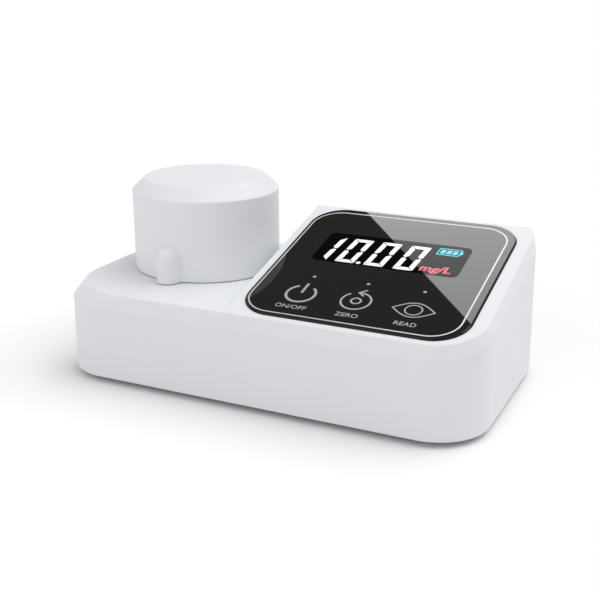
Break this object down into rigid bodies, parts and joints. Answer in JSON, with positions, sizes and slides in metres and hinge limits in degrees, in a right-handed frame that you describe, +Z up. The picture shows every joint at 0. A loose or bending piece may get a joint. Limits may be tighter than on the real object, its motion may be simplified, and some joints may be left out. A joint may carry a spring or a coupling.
{
  "type": "residual chlorine tester",
  "caption": "White bench tester for residual chlorine in water, with a sloping black touch panel and a lift-off light shield cap over a round sample well.",
  "frame": {"origin": "on the table under the middle of the housing's footprint", "axes": "+X along the length from the cap towards the panel, +Y from front to back, +Z up"},
  "size_m": [0.19, 0.108, 0.0819],
  "materials": {
    "shell_white": "satin moulded white plastic",
    "cap_white": "satin moulded white plastic",
    "cover_grey": "matt moulded dark grey plastic",
    "foot_rubber": "matt black rubber",
    "grey_rubber": "dark grey silicone rubber",
    "steel": "zinc plated steel",
    "panel_glass": "polished black panel",
    "adhesive": "black adhesive tape",
    "display_dark": "dark display face",
    "lamp_resin": "clear epoxy resin",
    "board_green": "green solder resist",
    "socket_metal": "bright nickel plate",
    "black_plastic": "matt black moulded plastic",
    "ribbon_grey": "grey ribbon cable",
    "battery_wrap": "blue shrink sleeve",
    "clamp_metal": "bare spring steel",
    "clear_glass": "clear polished glass",
    "green_glass": "green tinted glass",
    "liner_black": "matt black light trap"
  },
  "bodies": {
    "housing": {"upper_shell": "shell_white", "bottom_cover": "cover_grey", "rubber_feet": "foot_rubber", "housing_screws": "steel", "touch_panel": "panel_glass", "panel_gasket": "adhesive", "display_module": "display_dark", "touch_pillars": "grey_rubber", "indicator_lamps": "lamp_resin", "panel_board": "board_green", "panel_board_screws": "steel", "main_board": "board_green", "main_board_screws": "steel", "charge_socket": "socket_metal", "buzzer": "black_plastic", "ribbon_cable": "ribbon_grey", "battery_pack": "battery_wrap", "battery_clamp": "clamp_metal", "clamp_screws": "steel", "well_bezel": "black_plastic", "cell_holder": "black_plastic", "holder_screws": "steel", "collimating_lens": "clear_glass", "emitter_lamp": "lamp_resin", "emitter_board": "board_green", "optical_filter": "green_glass", "light_sensor": "socket_metal", "sensor_board": "board_green", "optics_screws": "steel"},
    "light_cap": {"cap_shell": "cap_white", "cap_liner": "liner_black", "cap_seal": "grey_rubber"}
  },
  "joints": [
    {"name": "cap_lift", "type": "slide", "parent": "housing", "child": "light_cap", "axis": [0, 0, 1], "range_m": [0, 0.1]}
  ]
}
